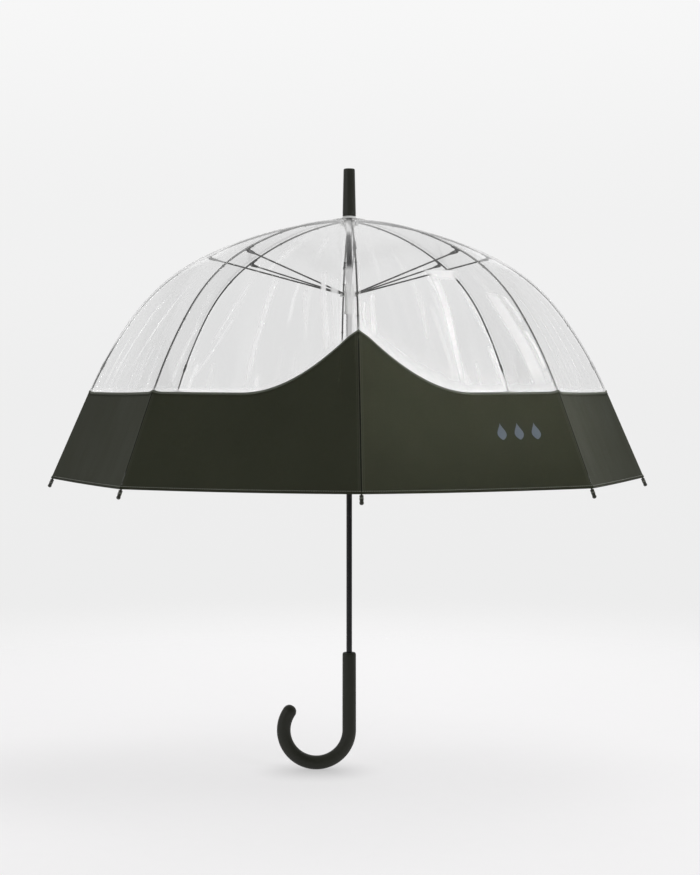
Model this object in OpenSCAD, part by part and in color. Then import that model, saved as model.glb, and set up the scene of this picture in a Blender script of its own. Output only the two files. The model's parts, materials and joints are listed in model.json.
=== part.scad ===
// Clear bubble umbrella, open, with a straight shaft and a crook handle.
//
// Frame: millimetres, +Z up the shaft. The origin is on the shaft's axis, halfway up the
// straight grip. The crook curls towards -X. Rib 1, under the peak of the dark band,
// points along -Y, and the ribs are numbered anticlockwise as seen from above.
//
// Gore N is the panel between rib N and rib N + 1. Each rib is one springy rod on the real
// umbrella. Here it is three stiff lengths, joined at two flex points, so that it can fold.

/* [Canopy] */
// Slope of the canopy where it meets the crown, in degrees below level
crown_slope = 3.8; // [3:0.1:5]
// Length of each rib's upper bend
upper_len = 202; // [199:1:206]
// How far the upper bend turns downward, in degrees
upper_turn = 22.5; // [21.5:0.5:23.5]
// Length of each rib's middle bend
middle_len = 126; // [120:1:132]
// How far the middle bend turns, in degrees
middle_turn = 27; // [25:0.5:29]
// Length of each rib's lower bend
lower_len = 124; // [118:1:130]
// How far the lower bend turns, in degrees
lower_turn = 13; // [11:0.5:14]
// Length of the straight foot of each rib
foot_len = 133; // [128:1:138]
// Thickness of the canopy film
film_t = 0.3; // [0.2:0.1:0.5]
// Height of the dark band's top edge above the hem
band_h = 120; // [100:1:130]
// How far the band's top edge climbs at rib 1
peak_rise = 79; // [60:1:90]

/* [Frame] */
// Diameter of a rib rod
rib_d = 2.4; // [2:0.1:2.6]
// Diameter of a stretcher rod
stretcher_d = 2.2; // [1.8:0.1:2.4]
// Radius of the wire rings that hang the ribs and stretchers
ring_r = 10; // [9.5:0.1:10.5]
// Length of a stretcher, pin to pin
stretcher_len = 190.5; // [189:0.5:192]
// Slope of a stretcher when the umbrella is open, in degrees
open_angle = 15; // [14.5:0.1:15.5]
// Slope of a stretcher when the umbrella is closed, in degrees
closed_angle = 86.7; // [86:0.1:87]

/* [Shaft] */
// Outer diameter of the steel shaft
shaft_d = 8; // [7.8:0.1:8.2]
// Wall of the steel shaft
shaft_wall = 0.8; // [0.6:0.1:0.8]
// Length of bare shaft from the handle's mouth to the rib hinges
shaft_show = 601; // [596:1:620]

/* [Handle and ferrule] */
// Diameter of the handle at its mouth
grip_d = 19; // [18:0.1:19.4]
// Length of the handle's straight grip
grip_len = 109; // [100:1:112]
// Radius of the crook along its centre line
crook_r = 46; // [44:1:50]
// How far the crook turns, in degrees
crook_turn = 214; // [190:1:220]
// Diameter of the crook
crook_d = 19.3; // [18.4:0.1:19.6]
// Length of the ferrule
ferrule_len = 66; // [60:1:70]
// Diameter of the ferrule at its base
ferrule_base_d = 18.7; // [17.5:0.1:19]
// Diameter of the ferrule at its tip
ferrule_tip_d = 15.8; // [14.5:0.1:16.5]

/* [Runner] */
// Outer diameter of the runner's sleeve
runner_d = 12.4; // [12:0.1:12.8]
// Length of the runner's sleeve above its wire ring
runner_up = 14; // [12:1:16]
// Length of the runner's sleeve below its wire ring
runner_down = 28; // [26:1:30]

/* [Hidden] */
RIBS = 8;
STEP = 360 / RIBS;
HALF = STEP / 2;

ROUND = 48;                     // facets round a small cylinder
SWEEP = 720;                    // facets round a large arc
grip_top = grip_len / 2;
crown_z = grip_top + shaft_show;          // height of the rib hinges
film_z = crown_z + 5;                     // height of the film above the rib hinges
runner_z = crown_z - 2 * stretcher_len * sin(open_angle);
travel = 2 * stretcher_len * (sin(closed_angle) - sin(open_angle));

// Clearances
gap = 0.3;                      // between bodies that move
wire_r = 0.5;                   // the two ring wires
eye_r = 2.3;                    // outside of a rib's or stretcher's eye
eye_hole_r = 0.85;              // hole in an eye, for the ring wire
eye_t = 1.6;                    // thickness of an eye
slot_w = 3.2;                   // slots in the notch and the runner
hub_r = 12.5;                   // outside of the notch and of the runner's flange
slot_floor_r = 7.2;             // how near the shaft those slots reach
pin_r = 0.75;                   // rivet through a rib's lug
pin_hole_r = 0.8;               // hole in a rib's lug
rod_drop = 2.1;                 // a rib rod's centre lies this far under the film
clamp_r = 1.9;                  // clamp that holds a rib's lug on the rod, from below
clamp_drop = rod_drop + 0.5;
bore_d = shaft_d + 0.06;        // in the pieces that are pushed on to the shaft
tip_d = 5.2;                    // cap on a rib's foot
tip_len = 12.6;                 // how far the cap stands past the hem
crown_hole_r = 5.6;             // the film's hole round the shaft

// A station on the canopy is [radius, height, slope], slope in degrees below level.
function bend_r(len, turn) = len * 180 / (PI * turn);
function bend_centre(s, r) = [s[0] - r * sin(s[2]), s[1] - r * cos(s[2])];
function on_bend(s, r, slope) =
    let (c = bend_centre(s, r)) [c[0] + r * sin(slope), c[1] + r * cos(slope), slope];
function along(s, len) = [s[0] + len * cos(s[2]), s[1] - len * sin(s[2]), s[2]];
function inward(s, d) = [s[0] - d * sin(s[2]), s[1] - d * cos(s[2]), s[2]];

upper_r = bend_r(upper_len, upper_turn);
middle_r = bend_r(middle_len, middle_turn);
lower_r = bend_r(lower_len, lower_turn);
S0 = [ring_r, film_z, crown_slope];                       // over the rib hinge
S1 = on_bend(S0, upper_r, crown_slope + upper_turn);      // first flex point
S2 = on_bend(S1, middle_r, S1[2] + middle_turn);          // second flex point
S3 = on_bend(S2, lower_r, S2[2] + lower_turn);            // top of the straight foot
S4 = along(S3, foot_len);                                 // hem
hem_z = S4[1];
band_z = hem_z + band_h;

// The film's line in the middle of a gore, where the gore lies flat between its ribs.
function profile(n = 8) = concat(
    [[crown_hole_r, film_z + 1.2, 0]],
    [for (i = [0 : n]) on_bend(S0, upper_r, S0[2] + upper_turn * i / n)],
    [for (i = [1 : n]) on_bend(S1, middle_r, S1[2] + middle_turn * i / n)],
    [for (i = [1 : 4]) on_bend(S2, lower_r, S2[2] + lower_turn * i / 4)],
    [S4]);
function film_line(side) = [for (s = profile())
    [(s[0] + side * sin(s[2])) * cos(HALF), s[1] + side * cos(s[2])]];
function reversed(list) = [for (i = [len(list) - 1 : -1 : 0]) list[i]];

DARK = [0.16, 0.165, 0.14];
BAND = [0.2, 0.2, 0.17];
STEEL = [0.2, 0.19, 0.19];
CLEAR = [0.86, 0.87, 0.87, 0.35];
PALE = [0.8, 0.8, 0.78];

// Turns a shape drawn along +X, in the XZ plane, to rib n.
module at_rib(n) rotate([0, 0, -90 + STEP * (n - 1)]) children();
module at_gore(n) rotate([0, 0, -90 + STEP * (n - 0.5)]) children();

// Lays a plate, drawn in XY with +Y up, in the XZ plane, t thick.
module plate(t) translate([0, t / 2, 0]) rotate([90, 0, 0]) linear_extrude(t) children();
module cross_pin(r, z, pin_radius, len)
    translate([r, 0, z]) rotate([90, 0, 0]) cylinder(r = pin_radius, h = len, center = true, $fn = ROUND);

// A rod along a bend of the canopy from slope a to slope b, its centre drop inside it.
module bent_rod(s, r, a, b, drop, d) {
    c = bend_centre(s, r);
    translate([c[0], 0, c[1]]) rotate([90, 0, 0]) rotate([0, 0, 90 - b])
        rotate_extrude(angle = b - a, $fn = SWEEP)
            translate([r - drop, 0]) circle(d = d, $fn = ROUND / 2);
}

// A straight rod in the XZ plane from station s, dropping at the station's slope.
module straight_rod(s, len, d, from = 0)
    translate([s[0], 0, s[1]]) rotate([0, 90 + s[2], 0])
        translate([0, 0, from]) cylinder(d = d, h = len - from, $fn = ROUND / 2);

// ---- shaft, handle and ferrule ----

nose_out = 3.6;                 // how far a catch's nose stands out of the shaft
nose_t = 1.4;                   // thickness of a catch plate
nose_h = 10;                    // height of a nose
top_ledge = runner_z - runner_down - gap;
bottom_ledge = runner_z - travel - runner_down + 6;
shaft_bottom = -30;
shaft_top = film_z + ferrule_len - 8;

module catch_slot(z0, side)
    translate([0, side * shaft_d / 2, z0 + nose_h / 2])
        cube([nose_t + 2 * gap, shaft_d, nose_h + 3], center = true);

module shaft() {
    color(STEEL) difference() {
        translate([0, 0, shaft_bottom]) cylinder(d = shaft_d, h = shaft_top - shaft_bottom, $fn = ROUND);
        translate([0, 0, shaft_bottom - 1])
            cylinder(d = shaft_d - 2 * shaft_wall, h = shaft_top - shaft_bottom + 2, $fn = ROUND);
        catch_slot(top_ledge - nose_h, -1);
        catch_slot(bottom_ledge, 1);
    }
}

module crook_handle() {
    color(DARK) {
        difference() {
            union() {
                translate([0, 0, grip_top - 3]) cylinder(d1 = grip_d, d2 = grip_d - 1.6, h = 3, $fn = ROUND);
                translate([0, 0, -grip_top - 2]) cylinder(d = grip_d, h = grip_len - 1, $fn = ROUND);
            }
            translate([0, 0, shaft_bottom]) cylinder(d = bore_d, h = grip_len, $fn = ROUND);
        }
        translate([-crook_r, 0, -grip_top]) rotate([90, 0, 0]) rotate([0, 0, -crook_turn])
            rotate_extrude(angle = crook_turn, $fn = SWEEP / 2)
                translate([crook_r, 0]) circle(d = crook_d, $fn = ROUND);
        translate([-crook_r + crook_r * cos(crook_turn), 0, -grip_top - crook_r * sin(crook_turn)])
            sphere(d = crook_d + 0.4, $fn = ROUND);
    }
}

ferrule_z = film_z + 5;
ferrule_socket = shaft_top - ferrule_z;

module ferrule() {
    edge = 1.6;
    color(DARK) translate([0, 0, ferrule_z]) difference() {
        rotate_extrude($fn = ROUND * 2) polygon(concat(
            [[0, 0], [ferrule_base_d / 2, 0]],
            [for (a = [0 : 15 : 90])
                [ferrule_tip_d / 2 - edge * (1 - cos(a)), ferrule_len - edge * (1 - sin(a))]],
            [[0, ferrule_len]]));
        translate([0, 0, -1]) cylinder(d = bore_d, h = ferrule_socket + 1, $fn = ROUND);
    }
}

// The clear collar that clamps the gathered film between the ferrule and the notch.
module crown_washer() {
    color(PALE) translate([0, 0, film_z + 2]) difference() {
        cylinder(d1 = 2 * hub_r - 3, d2 = ferrule_base_d - 2, h = ferrule_z - film_z - 2, $fn = ROUND);
        translate([0, 0, -1]) cylinder(d = bore_d, h = 10, $fn = ROUND);
    }
}

// ---- the two slotted hubs and their ring wires ----

module ring_wire(z) {
    color(STEEL) translate([0, 0, z]) rotate_extrude($fn = ROUND * 2)
        translate([ring_r, 0]) circle(r = wire_r, $fn = 16);
}

// Everything that has to be cut out of a hub: one slot for each rib, and the wire's groove.
module hub_cuts(z, below, above) {
    for (n = [1 : RIBS]) at_rib(n)
        translate([slot_floor_r, -slot_w / 2, z - below]) cube([hub_r, slot_w, below + above]);
    translate([0, 0, z]) rotate_extrude($fn = ROUND * 2)
        translate([ring_r, 0]) circle(r = wire_r + 0.02, $fn = 16);
}

module top_notch() {
    flange_down = 3.2;
    neck_down = 11;
    color(PALE) difference() {
        union() {
            translate([0, 0, crown_z - flange_down])
                cylinder(r = hub_r, h = 5.2, $fn = ROUND * 2);
            translate([0, 0, crown_z - neck_down])
                cylinder(r1 = 5.4, r2 = 8, h = 8, $fn = ROUND);
            translate([0, 0, crown_z]) cylinder(r = slot_floor_r, h = 4.2, $fn = ROUND);
        }
        translate([0, 0, crown_z - 2 * neck_down])
            cylinder(d = bore_d, h = 4 * neck_down, $fn = ROUND);
        hub_cuts(crown_z, 5, 5);
    }
}

module runner() {
    window_z = runner_z - runner_down + 6 - gap;
    color(PALE) difference() {
        union() {
            translate([0, 0, runner_z - runner_down])
                cylinder(d = runner_d, h = runner_up + runner_down, $fn = ROUND);
            translate([0, 0, runner_z - 3.4]) cylinder(r = hub_r, h = 6.4, $fn = ROUND * 2);
            translate([0, 0, runner_z - runner_down]) cylinder(d = runner_d + 2.4, h = 3, $fn = ROUND);
        }
        translate([0, 0, runner_z - 50]) cylinder(d = shaft_d + 2 * gap, h = 100, $fn = ROUND);
        hub_cuts(runner_z, 5, 5);
        translate([-nose_t / 2 - gap, 0, window_z])
            cube([nose_t + 2 * gap, runner_d, nose_h + 2 * gap]);
    }
}

// ---- the two spring catches ----

// A plate inside the shaft: its leaf springs the nose out through the shaft's slot. The
// nose is drawn with its flat ledge at height 0, and slopes away below or, flipped, above.
module catch_plate(flip) plate(nose_t) scale([1, flip ? -1 : 1]) polygon([
    [0.7, -nose_h - 14], [2.1, -nose_h - 14], [2.1, -nose_h], [shaft_d / 2 + nose_out, -2],
    [shaft_d / 2 + nose_out, 0], [2.1, 0], [2.1, 3], [0.7, 3]]);

module top_spring()
    color(STEEL) translate([0, 0, top_ledge]) rotate([0, 0, -90]) catch_plate(false);
module bottom_spring()
    color(STEEL) translate([0, 0, bottom_ledge]) rotate([0, 0, 90]) catch_plate(true);

// ---- ribs ----

rod_r = rib_d / 2;
flex_gap = 0.1;                 // left open at each side of a flex point
lug_slope = asin(min(1, (stretcher_len * cos(open_angle) + ring_r
    - bend_centre(S0, upper_r)[0]) / (upper_r - rod_drop)));
lug_at = on_bend(S0, upper_r, lug_slope);
joint_r = ring_r + stretcher_len * cos(open_angle);
joint_z = crown_z - stretcher_len * sin(open_angle);

module rib_inner(n) {
    rod_start = S0[2] + 6 / upper_r * 180 / PI;
    flex = S1[2] - flex_gap / upper_r * 180 / PI;
    eye_arm = inward(on_bend(S0, upper_r, rod_start), rod_drop);
    clamp = inward(lug_at, clamp_drop);
    reach = norm([eye_arm[0] - ring_r, eye_arm[1] - crown_z]);
    arm_h = 2;
    lug_w = 4.4;
    clamp_len = 16;
    color(STEEL) at_rib(n) difference() {
        union() {
            bent_rod(S0, upper_r, rod_start - 0.1, flex, rod_drop, rib_d);
            cross_pin(ring_r, crown_z, eye_r, eye_t);
            translate([ring_r, 0, crown_z])
                rotate([0, -atan2(eye_arm[1] - crown_z, eye_arm[0] - ring_r), 0])
                    translate([1, -eye_t / 2, -arm_h / 2]) cube([reach - 0.5, eye_t, arm_h]);
            translate([clamp[0], 0, clamp[1]]) rotate([0, 90 + clamp[2], 0])
                cylinder(r = clamp_r, h = clamp_len, center = true, $fn = ROUND / 2);
            translate([joint_r, 0, joint_z]) rotate([0, clamp[2], 0])
                translate([-lug_w / 2, -eye_t / 2, 0])
                    cube([lug_w, eye_t, norm([clamp[0] - joint_r, clamp[1] - joint_z])]);
            cross_pin(joint_r, joint_z, lug_w / 2, eye_t);
        }
        cross_pin(ring_r, crown_z, eye_hole_r, 5);
        cross_pin(joint_r, joint_z, pin_hole_r, 5);
    }
}

module rib_mid(n) {
    edge = flex_gap / middle_r * 180 / PI;
    color(STEEL) at_rib(n)
        bent_rod(S1, middle_r, S1[2] + edge, S2[2] - edge, rod_drop, rib_d);
}

module rib_outer(n) {
    edge = flex_gap / lower_r * 180 / PI;
    foot = inward(S3, rod_drop);
    bead_r = rod_r + 0.4;
    color(STEEL) at_rib(n) {
        bent_rod(S2, lower_r, S2[2] + edge, S3[2] - edge, rod_drop, rib_d);
        straight_rod(foot, foot_len + 4, rib_d, 0.2);
        translate([foot[0], 0, foot[1]]) sphere(r = bead_r, $fn = ROUND);
    }
    color(DARK) at_rib(n) {
        straight_rod(foot, foot_len + tip_len - tip_d / 2, tip_d, foot_len + 0.6);
        end = along(foot, foot_len + tip_len - tip_d / 2);
        translate([end[0], 0, end[1]]) sphere(d = tip_d + 0.3, $fn = ROUND);
    }
}

// ---- stretchers ----

module stretcher(n) {
    ear_t = 1.1;
    ear_y = eye_t / 2 + gap + ear_t / 2;
    yoke_at = 7;
    color(STEEL) at_rib(n) translate([joint_r, 0, joint_z]) rotate([0, 90 - open_angle, 0]) {
        // Drawn along -Z from the rivet to the runner, then tilted to the open slope.
        difference() {
            union() {
                translate([0, 0, -stretcher_len + 4])
                    cylinder(d = stretcher_d, h = stretcher_len - 4 - yoke_at, $fn = ROUND / 2);
                translate([-1.6, -ear_y - ear_t / 2, -yoke_at - 2])
                    cube([3.2, 2 * ear_y + ear_t, 2.5]);
                for (side = [-1, 1]) {
                    translate([-1.6, side * ear_y - ear_t / 2, -yoke_at]) cube([3.2, ear_t, yoke_at]);
                    translate([0, side * ear_y, 0]) rotate([90, 0, 0])
                        cylinder(r = 2.1, h = ear_t, center = true, $fn = ROUND);
                }
                rotate([90, 0, 0]) cylinder(r = pin_r, h = 2 * ear_y + ear_t, center = true, $fn = ROUND);
                translate([0, 0, -stretcher_len]) rotate([90, 0, 0])
                    cylinder(r = eye_r, h = eye_t, center = true, $fn = ROUND);
                translate([-1, -eye_t / 2, -stretcher_len + 1]) cube([2, eye_t, 6]);
            }
            translate([0, 0, -stretcher_len]) rotate([90, 0, 0])
                cylinder(r = eye_hole_r, h = 5, center = true, $fn = ROUND);
        }
    }
}

// ---- canopy ----

// One gore's film, flat across between its two ribs, gap clear of its neighbours.
module gore_film() {
    reach = S4[0] + 20;
    side_gap = gap / 2;
    intersection() {
        translate([0, reach, 0]) rotate([90, 0, 0]) linear_extrude(2 * reach)
            polygon(concat(film_line(film_t / 2), reversed(film_line(-film_t / 2))));
        translate([side_gap / sin(HALF), 0, hem_z - 50]) linear_extrude(crown_z)
            polygon([[0, 0], [reach, -reach * tan(HALF)], [reach, reach * tan(HALF)]]);
    }
}

// Everything below the band's top edge in one gore. rise is +1 or -1 where the edge climbs
// to the peak at the gore's right-hand or left-hand rib, and 0 where it runs level.
module band_zone(rise, shift = 0) {
    peak_y = 122;
    foot_y = -17;
    reach = 200;
    climb = [for (i = [0 : 12]) let (y = foot_y + (reach - foot_y) * i / 12)
        [y, band_z + shift + peak_rise * pow((y - foot_y) / (peak_y - foot_y), 2)]];
    outline = rise == 0 ? [[-reach, band_z + shift], [reach, band_z + shift]]
        : concat([[-reach, band_z + shift]], climb);
    rotate([0, 0, 90]) rotate([90, 0, 0]) linear_extrude(2 * reach + 100)
        scale([rise < 0 ? -1 : 1, 1])
            polygon(concat(outline, [[reach, hem_z - 60], [-reach, hem_z - 60]]));
}

// The band climbs to rib 1 from both of its gores: gore 8 on one side, gore 1 on the other.
function rise_of(n) = n == 1 ? -1 : n == RIBS ? 1 : 0;

module clear_panel(n)
    color(CLEAR) at_gore(n) difference() { gore_film(); band_zone(rise_of(n)); }
module band_panel(n)
    color(BAND) at_gore(n) intersection() { gore_film(); band_zone(rise_of(n), -0.1); }

// ---- tie strap, lying down the outside of gore 5's band beside rib 5 ----

strap_gore = 5;
strap_w = 16;
strap_t = 1;
strap_len = 100;
strap_y = -70;
band_tilt = atan2(cos(S4[2]) * cos(HALF), sin(S4[2]));

// Stands a shape, drawn upright at the origin, against the outside of the band.
module on_band(y)
    at_gore(strap_gore) translate([S4[0] * cos(HALF), y, hem_z]) rotate([0, -band_tilt, 0])
        translate([film_t / 2 + gap, 0, 0]) children();

module tie_strap()
    color(BAND) on_band(strap_y) translate([0, -strap_w / 2, 12])
        cube([strap_t, strap_w, strap_len]);

module strap_snap()
    color(STEEL) on_band(strap_y) translate([strap_t, 0, 22]) rotate([0, 90, 0])
        cylinder(d1 = 11, d2 = 9, h = 1.6, $fn = ROUND);

shaft();
crook_handle();
ferrule();
top_notch();
ring_wire(crown_z);  // notch_wire
crown_washer();
runner();
ring_wire(runner_z);  // runner_wire
top_spring();
bottom_spring();
tie_strap();
strap_snap();
for (n = [1 : RIBS]) {
    rib_inner(n);
    rib_mid(n);
    rib_outer(n);
    stretcher(n);
    clear_panel(n);
    band_panel(n);
}
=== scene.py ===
"""Looks of the clear bubble umbrella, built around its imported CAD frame.

Metres, in the CAD frame: +Z up the shaft, rib 1 along -Y, the crook towards -X. Ribs are
numbered anticlockwise from above, and gore N lies between rib N and rib N + 1.
"""

import json
import math
import random

import bpy
import numpy as np
from mathutils import Matrix, Vector


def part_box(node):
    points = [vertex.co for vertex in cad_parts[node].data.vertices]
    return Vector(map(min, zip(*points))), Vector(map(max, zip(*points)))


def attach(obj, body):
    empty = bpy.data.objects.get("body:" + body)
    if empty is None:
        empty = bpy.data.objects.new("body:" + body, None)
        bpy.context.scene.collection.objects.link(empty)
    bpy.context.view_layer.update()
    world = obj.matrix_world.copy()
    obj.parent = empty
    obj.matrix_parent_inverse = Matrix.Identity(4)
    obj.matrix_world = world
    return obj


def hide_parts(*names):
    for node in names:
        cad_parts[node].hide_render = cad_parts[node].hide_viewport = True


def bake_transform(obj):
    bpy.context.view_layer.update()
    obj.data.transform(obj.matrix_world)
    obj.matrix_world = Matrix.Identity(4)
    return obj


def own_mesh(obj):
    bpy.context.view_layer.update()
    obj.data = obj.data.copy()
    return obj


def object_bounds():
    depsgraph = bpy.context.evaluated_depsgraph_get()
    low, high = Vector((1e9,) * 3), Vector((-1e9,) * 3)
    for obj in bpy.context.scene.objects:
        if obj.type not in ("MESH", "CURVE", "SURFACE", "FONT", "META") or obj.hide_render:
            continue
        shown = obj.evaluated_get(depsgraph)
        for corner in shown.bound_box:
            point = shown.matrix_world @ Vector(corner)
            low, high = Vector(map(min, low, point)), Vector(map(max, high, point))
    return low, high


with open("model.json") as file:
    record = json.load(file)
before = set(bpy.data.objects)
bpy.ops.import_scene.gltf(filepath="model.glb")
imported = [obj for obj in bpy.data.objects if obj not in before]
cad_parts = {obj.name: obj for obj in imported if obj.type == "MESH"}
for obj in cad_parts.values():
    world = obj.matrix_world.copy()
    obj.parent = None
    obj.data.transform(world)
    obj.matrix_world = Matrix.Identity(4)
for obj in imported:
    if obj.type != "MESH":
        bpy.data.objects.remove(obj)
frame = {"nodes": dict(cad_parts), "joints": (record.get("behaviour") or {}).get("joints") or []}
cad_box = [list(corner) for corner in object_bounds()]
JOINTS = {j["name"]: j for j in frame["joints"]}
SEED = 11

# ---- the umbrella's line, as the CAD has it ----

MM = 0.001
RIBS = 8
STEP = math.radians(360 / RIBS)
HALF = STEP / 2
# A rib's line is three arcs and a straight end: their lengths, and their turns in degrees.
BENDS = ((0.202, 22.5), (0.126, 27.0), (0.124, 13.0), (0.133, 0.0))
SEGMENT_ENDS = (0.0, 0.202, 0.328, 0.585)  # where its three moving lengths start and end
RIB_LEN = SEGMENT_ENDS[-1]
RING_R = 0.010  # the wire rings that the ribs and stretchers hinge on
CROWN_SLOPE = 3.8
HINGE_Z = JOINTS["rib_fold_1"]["pos_m"][2]
FILM_Z = HINGE_Z + 0.005
ROD_DROP = 2.1 * MM  # from the film to the middle of the rod under it
ROD_R = 1.2 * MM
BAND_H = 0.120
PEAK_RISE = 0.079
PEAK_FOOT_Y = -0.017  # where the band's edge starts to climb, from mid-gore towards rib 1
PEAK_Y = 0.122  # where it reaches the peak
PEAK_DIP = (4.0 * MM, 9.0 * MM)  # how far it dips at the peak's own seam, and over what width
SEAM_RISE = (2.2 * MM, 7.0 * MM)  # how far it is pulled up at the other ribs, likewise
UP = np.array([0, 0, 1.0])


def stations():
    """Radius, height and slope where each length of a rib starts, and where the last one ends."""
    r, z, slope = RING_R, FILM_Z, math.radians(CROWN_SLOPE)
    found = [(r, z, slope)]
    for length, turn in BENDS:
        turn = math.radians(turn)
        if turn:
            bend = length / turn
            r += bend * (math.sin(slope + turn) - math.sin(slope))
            z += bend * (math.cos(slope + turn) - math.cos(slope))
            slope += turn
        else:
            r += length * math.cos(slope)
            z -= length * math.sin(slope)
        found.append((r, z, slope))
    return found


STATIONS = stations()
HEM_Z = STATIONS[-1][1]
BAND_Z = HEM_Z + BAND_H


def profile(s):
    """Radius, height and slope of the film's line over a rib, s along it from the hinge."""
    s = np.asarray(s, float)
    r, z, slope = (np.zeros_like(s) for _ in range(3))
    start = 0.0
    for i, ((length, turn), (r0, z0, slope0)) in enumerate(zip(BENDS, STATIONS)):
        here = ((s >= start) | (i == 0)) & ((s < start + length) | (i == len(BENDS) - 1))
        d = s[here] - start
        bend = length / math.radians(turn) if turn else 0
        a = slope0 + (d / bend if turn else 0 * d)
        slope[here] = a
        r[here] = r0 + (bend * (np.sin(a) - math.sin(slope0)) if turn else d * math.cos(slope0))
        z[here] = z0 + (bend * (np.cos(a) - math.cos(slope0)) if turn else -d * math.sin(slope0))
        start += length
    return r, z, slope


LINE_S = np.linspace(0, RIB_LEN, 1200)
LINE_Z = profile(LINE_S)[1]


def s_at(z):
    """How far down a rib the film is at height z."""
    return np.interp(-np.asarray(z, float), -LINE_Z, LINE_S)


def directions(n, turn=0.0):
    """Outward, sideways and up at rib n, or turn radians past it."""
    a = -math.pi / 2 + STEP * (n - 1) + turn
    return np.array([math.cos(a), math.sin(a), 0]), np.array([-math.sin(a), math.cos(a), 0]), UP


def half_width(s):
    """Half a gore's width, s down its ribs."""
    return profile(s)[0] * math.sin(HALF)


def gore_of(n, side):
    """The gore on that side of rib n: 1 is the side that gore n lies on."""
    return n if side > 0 else (n - 2) % RIBS + 1


def across_gore(w, side):
    """v in the gore, from w off the rib: v is -1 at the gore's first rib and 1 at its second."""
    return (w - 1) if side > 0 else (1 - w)


# ---- creases in the clear film ----
# A crease is (v at its top and at its bottom, s at both, whiteness, width in mm at both). Its
# whiteness is a painted highlight, for light caught along the crease.

LIT = {
    7: [
        (0.26, 0.06, 0.31, 0.38, 0.75, 1.5, 1.5), (0.34, -0.06, 0.27, 0.44, 0.30, 2.6, 3.0),
        (-0.30, -0.46, 0.30, 0.46, 0.34, 2.6, 3.2), (-0.58, -0.62, 0.36, 0.46, 0.30, 2.6, 3.6),
        (0.46, 0.40, 0.38, 0.46, 0.42, 1.8, 2.2), (0.70, 0.72, 0.37, 0.46, 0.30, 1.8, 2.2),
    ],
    8: [
        (-0.08, -0.09, 0.27, 0.465, 0.84, 3.4, 2.0), (-0.39, -0.57, 0.28, 0.395, 0.60, 1.4, 1.6),
        (-0.40, -0.65, 0.34, 0.445, 0.65, 1.4, 1.9), (0.34, 0.42, 0.295, 0.365, 0.42, 2.0, 2.0),
        (0.55, 0.68, 0.26, 0.42, 0.85, 2.8, 2.2), (0.71, 0.78, 0.275, 0.41, 0.70, 4.0, 3.6),
        (-0.79, -0.86, 0.35, 0.46, 0.42, 1.8, 2.4), (0.88, 0.91, 0.05, 0.17, 0.60, 3.4, 3.4),
        (0.90, 0.93, 0.25, 0.43, 0.62, 4.0, 4.4), (0.955, 0.955, 0.33, 0.42, 0.85, 1.6, 1.6),
    ],
    1: [
        (0.25, 0.25, 0.255, 0.279, 0.95, 17.0, 13.0), (0.10, 0.03, 0.265, 0.465, 0.80, 4.2, 2.4),
        (-0.92, -0.93, 0.32, 0.375, 0.60, 1.3, 1.3), (-0.81, -0.84, 0.305, 0.39, 0.85, 2.7, 2.7),
        (0.37, 0.47, 0.29, 0.40, 0.35, 1.5, 1.9), (0.42, 0.49, 0.385, 0.465, 0.60, 2.2, 3.6),
        (0.745, 0.86, 0.295, 0.468, 0.55, 6.6, 8.0), (0.89, 0.93, 0.305, 0.36, 0.95, 1.9, 1.9),
        (0.92, 0.955, 0.36, 0.43, 0.90, 2.0, 2.0),
    ],
    2: [
        (-0.60, -0.48, 0.27, 0.46, 0.36, 2.2, 2.6), (-0.22, -0.14, 0.29, 0.46, 0.26, 3.0, 3.6),
        (0.20, 0.22, 0.32, 0.46, 0.28, 3.0, 3.4), (0.50, 0.56, 0.29, 0.46, 0.38, 2.4, 3.0),
    ],
}


def creases_of(gore):
    """The creases placed on a gore, with a few drawn at random, short ones near the band too."""
    rng = random.Random(SEED * 100 + gore)
    found = list(LIT.get(gore, []))
    for _ in range(6 - min(4, len(found))):
        v = rng.uniform(-0.85, 0.85)
        top = rng.uniform(0.08, 0.30)
        found.append((v * rng.uniform(0.8, 1), v, top, top + rng.uniform(0.08, 0.18),
                      rng.uniform(0.10, 0.26), rng.uniform(1.8, 3.0), rng.uniform(1.8, 3.0)))
    for _ in range(5):
        v = rng.uniform(-0.95, 0.95)
        found.append((v * 0.97, v, 0.41 + rng.uniform(-0.03, 0.02), 0.475,
                      rng.uniform(0.12, 0.3), rng.uniform(1.6, 2.6), rng.uniform(2.0, 3.4)))
    return found


CREASES = {g: creases_of(g) for g in range(1, RIBS + 1)}
SAG = 3.5 * MM  # how far the film hangs in at mid-gore
CREASE_H = 0.45 * MM  # how far the whitest crease stands out
FLATTER = 0.3  # the share of it that the creases have on the side gores
SIDE_GORES = (2, 7)


def ease(x):
    x = np.clip(x, 0, 1)
    return x * x * (3 - 2 * x)


def relief(gore, v, s):
    """How far the film stands out of the gore's flat line, and how white its creases are there: a
    painted highlight.
    """
    chord = half_width(np.clip(s, 0, RIB_LEN))
    lift = -SAG * (1 - v * v) * np.clip(s / 0.25, 0, 1)
    height = (FLATTER if gore in SIDE_GORES else 1) * CREASE_H
    mark = np.zeros_like(v)
    for top_v, low_v, top, low, white, top_w, low_w in CREASES[gore]:
        t = np.clip((s - top) / (low - top), 0, 1)
        envelope = ease(t / 0.10) * ease((1 - t) / 0.30)
        centre = top_v + (low_v - top_v) * t + 0.006 * np.sin(7 * t + 5 * top_v)
        x = (v - centre) * chord / ((top_w + (low_w - top_w) * t) * MM)
        lift = lift + height * white * envelope * np.exp(-x * x)
        # the crease's whiteness: a painted highlight along it
        mark = np.maximum(mark, white * envelope * ease(1.75 - np.abs(x)))
    return lift, mark


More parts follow.
